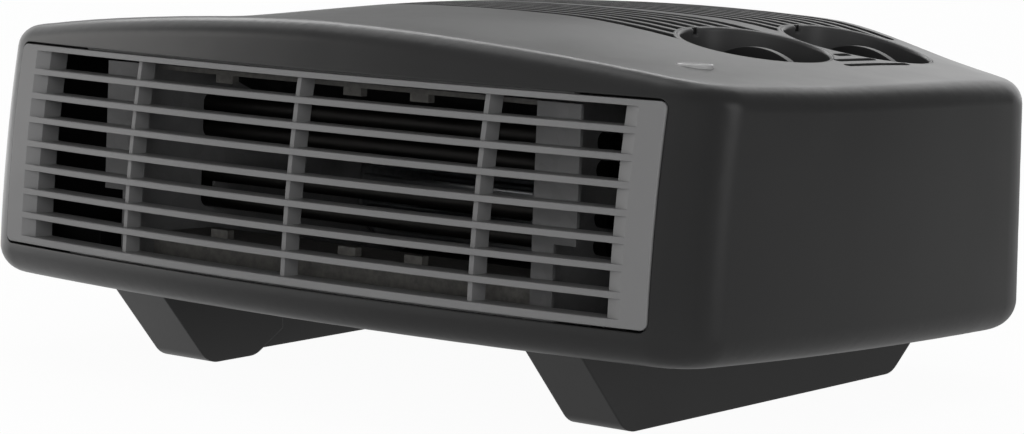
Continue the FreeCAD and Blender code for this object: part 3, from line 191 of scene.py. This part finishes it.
def layFloor(spec):
    bpy.ops.mesh.primitive_plane_add(size=spec["floorSize"], location=(0, 0, 0))
    floor = bpy.context.object
    floor.name = "studioFloor"
    paint = bpy.data.materials.new("floorPaper")
    paint.use_nodes = True
    tree = paint.node_tree
    tree.nodes.clear()
    paper = tree.nodes.new("ShaderNodeBsdfDiffuse")
    paper.inputs["Color"].default_value = (*spec["floorColour"], 1)
    white = tree.nodes.new("ShaderNodeEmission")
    white.inputs["Color"].default_value = plainWhite
    white.inputs["Strength"].default_value = 1.0
    # what glossy faces see of the floor: painted light, an emission brighter towards the left as a pool of
    # light from the left softbox
    plain = tree.nodes.new("ShaderNodeEmission")
    plain.inputs["Color"].default_value = plainWhite
    spot = tree.nodes.new("ShaderNodeTexCoord")
    across = tree.nodes.new("ShaderNodeSeparateXYZ")
    tree.links.new(spot.outputs["Object"], across.inputs[0])
    fade = tree.nodes.new("ShaderNodeMapRange")
    fade.inputs["From Min"].default_value, fade.inputs["From Max"].default_value = spec["floorFade"]
    fade.inputs["To Min"].default_value, fade.inputs["To Max"].default_value = spec["floorPaintedGlow"]
    tree.links.new(across.outputs["X"], fade.inputs["Value"])
    tree.links.new(fade.outputs["Result"], plain.inputs["Strength"])
    rays = tree.nodes.new("ShaderNodeLightPath")
    share = tree.nodes.new("ShaderNodeMath")
    share.operation = "MULTIPLY"
    tree.links.new(rays.outputs["Is Camera Ray"], share.inputs[0])
    share.inputs[1].default_value = spec["floorWhite"]
    seen = tree.nodes.new("ShaderNodeMixShader")
    tree.links.new(share.outputs[0], seen.inputs["Fac"])
    tree.links.new(paper.outputs[0], seen.inputs[1])
    tree.links.new(white.outputs[0], seen.inputs[2])
    mix = tree.nodes.new("ShaderNodeMixShader")
    tree.links.new(rays.outputs["Is Glossy Ray"], mix.inputs["Fac"])
    tree.links.new(seen.outputs[0], mix.inputs[1])
    tree.links.new(plain.outputs[0], mix.inputs[2])
    output = tree.nodes.new("ShaderNodeOutputMaterial")
    tree.links.new(mix.outputs[0], output.inputs["Surface"])
    floor.data.materials.append(paint)


hangSoftboxes(studio)
lightRoom(studio)
layFloor(studio)
print("studio lit")

# values that the finishes share
noiseLow, noiseHigh = 0.3, 0.7   # the part of a noise that is spread over a finish's range
grainDepth = 0.0001
grainDetail = 3.0
streakScale, streakDetail = 1.0, 4.0   # a metal's own streaks stretch this noise
edgeSamples = 6


def startFinish(name):
    finish = bpy.data.materials.new(name)
    finish.use_nodes = True
    tree = finish.node_tree
    tree.nodes.clear()
    output = tree.nodes.new("ShaderNodeOutputMaterial")
    shader = tree.nodes.new("ShaderNodeBsdfPrincipled")
    tree.links.new(shader.outputs["BSDF"], output.inputs["Surface"])
    place = tree.nodes.new("ShaderNodeTexCoord")
    return finish, tree, shader, place.outputs["Object"]


def addNoise(tree, place, scale, detail=2.0):
    noise = tree.nodes.new("ShaderNodeTexNoise")
    noise.inputs["Scale"].default_value = scale
    noise.inputs["Detail"].default_value = detail
    tree.links.new(place, noise.inputs["Vector"])
    return noise.outputs["Fac"]


def addBands(tree, place, scale, direction, wobble):
    bands = tree.nodes.new("ShaderNodeTexWave")
    bands.wave_type = "BANDS"
    bands.bands_direction = direction
    bands.inputs["Scale"].default_value = scale
    bands.inputs["Distortion"].default_value = wobble
    tree.links.new(place, bands.inputs["Vector"])
    return bands.outputs["Fac"]


def addColour(tree, shader, source, spec):
    ramp = tree.nodes.new("ShaderNodeValToRGB")
    ramp.color_ramp.elements[0].position = noiseLow
    ramp.color_ramp.elements[0].color = (*spec["dark"], 1)
    ramp.color_ramp.elements[1].position = noiseHigh
    ramp.color_ramp.elements[1].color = (*spec["light"], 1)
    tree.links.new(source, ramp.inputs["Fac"])
    tree.links.new(ramp.outputs["Color"], shader.inputs["Base Color"])


def addSheen(tree, shader, source, spec):
    spread = tree.nodes.new("ShaderNodeMapRange")
    spread.inputs["From Min"].default_value = noiseLow
    spread.inputs["From Max"].default_value = noiseHigh
    spread.inputs["To Min"].default_value, spread.inputs["To Max"].default_value = spec["roughness"]
    tree.links.new(source, spread.inputs["Value"])
    tree.links.new(spread.outputs["Result"], shader.inputs["Roughness"])


def addBump(tree, shader, source, strength, depth, edge=0.0):
    bump = tree.nodes.new("ShaderNodeBump")
    bump.inputs["Strength"].default_value = strength
    bump.inputs["Distance"].default_value = depth
    tree.links.new(source, bump.inputs["Height"])
    if edge > 0.0:   # softened corners catch the light
        soft = tree.nodes.new("ShaderNodeBevel")
        soft.samples = edgeSamples
        soft.inputs["Radius"].default_value = edge
        tree.links.new(soft.outputs["Normal"], bump.inputs["Normal"])
    tree.links.new(bump.outputs["Normal"], shader.inputs["Normal"])


def mouldedPlastic(name, spec):
    # spark-eroded moulded plastic: faint cloudiness, uneven sheen and a fine grain
    finish, tree, shader, place = startFinish(name)
    addColour(tree, shader, addNoise(tree, place, spec["cloudScale"]), spec)
    addSheen(tree, shader, addNoise(tree, place, spec["sheenScale"]), spec)
    grain = addNoise(tree, place, spec["grainScale"], grainDetail)
    addBump(tree, shader, grain, spec["grainStrength"], grainDepth, spec["edge"])
    shader.inputs["Specular IOR Level"].default_value = spec["shine"]
    return finish


def coldMetal(name, spec):
    # drawn or rolled metal: streaks along one way, uneven sheen
    finish, tree, shader, place = startFinish(name)
    stretch = tree.nodes.new("ShaderNodeMapping")
    stretch.inputs["Scale"].default_value = spec["streaks"]
    tree.links.new(place, stretch.inputs["Vector"])
    streaks = addNoise(tree, stretch.outputs["Vector"], streakScale, streakDetail)
    addColour(tree, shader, streaks, spec)
    addSheen(tree, shader, streaks, spec)
    addBump(tree, shader, streaks, spec["grainStrength"], grainDepth)
    shader.inputs["Metallic"].default_value = 1.0
    return finish


def woundCopper(name, spec):
    # enamelled wire laid turn by turn
    finish, tree, shader, place = startFinish(name)
    turns = addBands(tree, place, spec["turnScale"], "Z", spec["wobble"])
    addColour(tree, shader, turns, spec)
    addBump(tree, shader, turns, spec["turnStrength"], spec["turnDepth"])
    shader.inputs["Metallic"].default_value = spec["metal"]
    shader.inputs["Roughness"].default_value = spec["roughness"]
    return finish


def stackedIron(name, spec):
    # thin laminations pressed together
    finish, tree, shader, place = startFinish(name)
    sheets = addBands(tree, place, spec["sheetScale"], "X", spec["wobble"])
    addColour(tree, shader, sheets, spec)
    addSheen(tree, shader, addNoise(tree, place, spec["sheenScale"]), spec)
    addBump(tree, shader, sheets, spec["sheetStrength"], spec["sheetDepth"])
    shader.inputs["Metallic"].default_value = spec["metal"]
    return finish


def galvanisedSheet(name, spec):
    # zinc coat with its spangle
    finish, tree, shader, place = startFinish(name)
    spangle = tree.nodes.new("ShaderNodeTexVoronoi")
    spangle.inputs["Scale"].default_value = spec["spangleScale"]
    tree.links.new(place, spangle.inputs["Vector"])
    tone = tree.nodes.new("ShaderNodeSeparateColor")
    tree.links.new(spangle.outputs["Color"], tone.inputs["Color"])
    addColour(tree, shader, tone.outputs["Red"], spec)
    addSheen(tree, shader, tone.outputs["Green"], spec)
    shader.inputs["Metallic"].default_value = spec["metal"]
    return finish


def fibreBoard(name, spec):
    # pressed mica board, speckled and dull
    finish, tree, shader, place = startFinish(name)
    addColour(tree, shader, addNoise(tree, place, spec["speckScale"], spec["speckDetail"]), spec)
    pits = addNoise(tree, place, spec["pitScale"], grainDetail)
    addBump(tree, shader, pits, spec["pitStrength"], spec["pitDepth"])
    shader.inputs["Roughness"].default_value = spec["roughness"]
    return finish


casePaint = {
    "dark": (0.0105, 0.0105, 0.0107), "light": (0.0130, 0.0130, 0.0131), "cloudScale": 14.0,
    "roughness": (0.285, 0.33), "sheenScale": 35.0, "shine": 0.5,
    "grainScale": 2400.0, "grainStrength": 0.02, "edge": 0.0009,
}
wellLitPaint = {   # the dial wells, painted lighter than the case: painted light on their walls
    "dark": (0.028, 0.028, 0.0283), "light": (0.034, 0.034, 0.0343), "cloudScale": 30.0,
    "roughness": (0.30, 0.36), "sheenScale": 60.0, "shine": 0.5,
    "grainScale": 2400.0, "grainStrength": 0.02, "edge": 0.0009,
}
grillePaint = {
    "dark": (0.152, 0.152, 0.153), "light": (0.164, 0.164, 0.165), "cloudScale": 18.0,
    "roughness": (0.42, 0.48), "sheenScale": 40.0, "shine": 0.35,
    "grainScale": 2400.0, "grainStrength": 0.05, "edge": 0.0002,
}
knobPaint = {
    "dark": (0.0085, 0.0085, 0.0087), "light": (0.0110, 0.0110, 0.0112), "cloudScale": 30.0,
    "roughness": (0.34, 0.42), "sheenScale": 60.0, "shine": 0.5,
    "grainScale": 2600.0, "grainStrength": 0.05, "edge": 0.0003,
}
lensPaint = {
    "dark": (0.36, 0.36, 0.36), "light": (0.44, 0.44, 0.44), "cloudScale": 160.0,
    "roughness": (0.12, 0.18), "sheenScale": 220.0, "shine": 0.5,
    "grainScale": 900.0, "grainStrength": 0.05, "edge": 0.0003,
}
lampPaint = {
    "dark": (0.42, 0.16, 0.07), "light": (0.55, 0.22, 0.10), "cloudScale": 200.0,
    "roughness": (0.10, 0.16), "sheenScale": 200.0, "shine": 0.5,
    "grainScale": 900.0, "grainStrength": 0.03, "edge": 0.0003,
}
switchPaint = {
    "dark": (0.52, 0.49, 0.42), "light": (0.60, 0.57, 0.50), "cloudScale": 90.0,
    "roughness": (0.48, 0.58), "sheenScale": 120.0, "shine": 0.4,
    "grainScale": 1800.0, "grainStrength": 0.08, "edge": 0.0003,
}
glandPaint = {
    "dark": (0.0100, 0.0100, 0.0100), "light": (0.0140, 0.0140, 0.0140), "cloudScale": 80.0,
    "roughness": (0.62, 0.75), "sheenScale": 150.0, "shine": 0.3,
    "grainScale": 1500.0, "grainStrength": 0.15, "edge": 0.0004,
}
screwMetal = {
    "dark": (0.050, 0.050, 0.052), "light": (0.085, 0.085, 0.088), "streaks": (400.0, 400.0, 400.0),
    "roughness": (0.28, 0.40), "grainStrength": 0.05,
}
shaftMetal = {
    "dark": (0.52, 0.52, 0.53), "light": (0.62, 0.62, 0.63), "streaks": (900.0, 900.0, 900.0),
    "roughness": (0.16, 0.26), "grainStrength": 0.03,
}
# dark oxidised steel, painted darker still: painted shade on the rods inside the case
rodShadedMetal = {
    "dark": (0.030, 0.029, 0.028), "light": (0.050, 0.048, 0.046), "streaks": (60.0, 300.0, 300.0),
    "roughness": (0.45, 0.60), "grainStrength": 0.10,
}
wheelMetal = {
    "dark": (0.55, 0.56, 0.57), "light": (0.70, 0.71, 0.72), "streaks": (20.0, 500.0, 500.0),
    "roughness": (0.28, 0.42), "grainStrength": 0.06,
}
brassMetal = {
    "dark": (0.55, 0.40, 0.16), "light": (0.68, 0.50, 0.22), "streaks": (500.0, 500.0, 500.0),
    "roughness": (0.28, 0.36), "grainStrength": 0.04,
}
coilWire = {
    "dark": (0.20, 0.075, 0.03), "light": (0.48, 0.20, 0.09), "turnScale": 420.0, "wobble": 0.6,
    "turnStrength": 0.6, "turnDepth": 0.0003, "roughness": 0.35, "metal": 0.7,
}
motorSheets = {
    "dark": (0.16, 0.15, 0.15), "light": (0.30, 0.29, 0.28), "sheetScale": 320.0, "wobble": 0.2,
    "sheetStrength": 0.4, "sheetDepth": 0.0002, "roughness": (0.45, 0.65), "sheenScale": 180.0, "metal": 0.85,
}
plateZinc = {
    "dark": (0.165, 0.165, 0.167), "light": (0.180, 0.180, 0.182), "spangleScale": 220.0,
    "roughness": (0.55, 0.60), "metal": 0.2,
}
guideShadeZinc = {   # duct walls painted near black: painted shade deep inside the case
    "dark": (0.012, 0.012, 0.012), "light": (0.018, 0.018, 0.018), "spangleScale": 160.0,
    "roughness": (0.60, 0.70), "metal": 0.2,
}
micaBoard = {
    "dark": (0.10, 0.098, 0.092), "light": (0.16, 0.155, 0.145), "speckScale": 500.0, "speckDetail": 5.0,
    "pitScale": 1000.0, "pitStrength": 0.3, "pitDepth": 0.0002, "roughness": 0.75,
}

# one finish for each material slot
finishes = {
    "case_plastic": mouldedPlastic("casePlastic", casePaint),
    "grille_plastic": mouldedPlastic("grillePlastic", grillePaint),
    "knob_plastic": mouldedPlastic("knobPlastic", knobPaint),
    "lens_plastic": mouldedPlastic("lensPlastic", lensPaint),
    "lamp_glass": mouldedPlastic("lampGlass", lampPaint),
    "switch_plastic": mouldedPlastic("switchPlastic", switchPaint),
    "gland_rubber": mouldedPlastic("glandRubber", glandPaint),
    "screw_steel": coldMetal("screwSteel", screwMetal),
    "shaft_steel": coldMetal("shaftSteel", shaftMetal),
    "element_steel": coldMetal("rodShadedSteel", rodShadedMetal),
    "wheel_aluminium": coldMetal("wheelAluminium", wheelMetal),
    "bearing_brass": coldMetal("bearingBrass", brassMetal),
    "coil_winding": woundCopper("coilCopper", coilWire),
    "motor_iron": stackedIron("motorIron", motorSheets),
    "sheet_steel": galvanisedSheet("plateZinc", plateZinc),
    "insulator_board": fibreBoard("micaBoard", micaBoard),
}
# nodes whose finish is not their slot's
# the duct walls get painted shade, a near black zinc
guideShadeFinish = galvanisedSheet("guideShadeZinc", guideShadeZinc)
# the dial wells get painted light, a lighter plastic than the case
wellLitFinish = mouldedPlastic("wellLitPlastic", wellLitPaint)
ownFinish = {
    "air_guide": guideShadeFinish, "air_tongue": guideShadeFinish,
    "thermostat_well": wellLitFinish, "selector_well": wellLitFinish,
}
print("finishes made:", len(finishes) + len(set(ownFinish.values())))

slotOf = {part["node"]: part["material_slot"] for part in frame["record"]["subparts"]}
bodyOf = {
    node: body
    for body, members in frame["record"]["behaviour"]["bodies"].items()
    for node in members
}

# every node keeps its shape and gets its finish
for nodeName, node in frame["nodes"].items():
    node.data.materials.clear()
    node.data.materials.append(ownFinish.get(nodeName, finishes[slotOf[nodeName]]))

# rounded inner rims of the dial wells
wellRim = {
    "nodes": ("thermostat_well", "selector_well"),
    "width": 0.0010,
    "segments": 4,
    "steep": 0.35,               # most that a wall's normal may rise
    "flat": 0.6,                 # least that the rim's normal rises
    "reach": (0.015, 0.0255),    # how far from the well's middle its wall lies
}


def roundRim(piece, spec):
    mesh = piece.data
    facesAt = {}
    for face in mesh.polygons:
        for key in face.edge_keys:
            facesAt.setdefault(key, []).append(face)
    corners = [vertex.co for vertex in mesh.vertices]
    middleX = (min(corner.x for corner in corners) + max(corner.x for corner in corners)) / 2
    middleY = (min(corner.y for corner in corners) + max(corner.y for corner in corners)) / 2
    weights = mesh.attributes.new("bevel_weight_edge", "FLOAT", "EDGE")
    count = 0
    for edge in mesh.edges:
        faces = sorted(facesAt.get(edge.key, []), key=lambda face: face.normal.z)
        if len(faces) != 2:
            continue
        wall, top = faces
        if abs(wall.normal.z) > spec["steep"] or top.normal.z < spec["flat"]:
            continue
        inward = Vector((middleX - wall.center.x, middleY - wall.center.y, 0.0))
        below = (wall.center - top.center).dot(top.normal)
        # an edge that stands out over the well, not the hole in its floor or the notch in its rim
        inReach = spec["reach"][0] < inward.length < spec["reach"][1]
        if inReach and inward.dot(wall.normal) > 0.0 and below < 0.0:
            weights.data[edge.index].value = 1.0
            count += 1
    soft = piece.modifiers.new("softRim", "BEVEL")
    soft.limit_method = "WEIGHT"
    soft.width = spec["width"]
    soft.segments = spec["segments"]
    soft.use_clamp_overlap = False
    bpy.ops.object.modifier_apply(modifier=soft.name)
    print("rim edges rounded:", piece.name, count)


mergeGap = 0.000002
smoothAngles = {
    "case_shell": 30.0,
    "front_grille": 22.0,
    "thermostat_well": 50.0, "selector_well": 50.0,
    "thermostat_knob": 50.0, "selector_knob": 50.0,
    "left_foot": 40.0, "right_foot": 40.0,
    "pilot_lens": 50.0,
}


def smoothCopy(nodeName, angle):
    # a merged copy of a node, so that its round faces shade evenly
    node = frame["nodes"][nodeName]
    piece = node.copy()
    piece.data = node.data.copy()
    piece.name = nodeName + "_skin"
    piece.parent = None
    scene.collection.objects.link(piece)
    for key in list(piece.keys()):
        del piece[key]
    bpy.ops.object.select_all(action="DESELECT")
    piece.select_set(True)
    bpy.context.view_layer.objects.active = piece
    bpy.ops.object.mode_set(mode="EDIT")
    bpy.ops.mesh.select_all(action="SELECT")
    bpy.ops.mesh.remove_doubles(threshold=mergeGap)
    bpy.ops.object.mode_set(mode="OBJECT")
    bpy.ops.mesh.customdata_custom_splitnormals_clear()   # the loaded normals no longer fit the merged mesh
    if nodeName in wellRim["nodes"]:
        roundRim(piece, wellRim)
    bpy.ops.object.shade_smooth_by_angle(angle=math.radians(angle))
    if nodeName != "case_shell":   # its bulged faces shade evenly without
        even = piece.modifiers.new("evenShade", "WEIGHTED_NORMAL")
        even.keep_sharp = True
        bpy.ops.object.modifier_apply(modifier=even.name)
    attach(piece, bodyOf[nodeName])
    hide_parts(nodeName)


for nodeName, angle in smoothAngles.items():
    smoothCopy(nodeName, angle)
print("skins made")
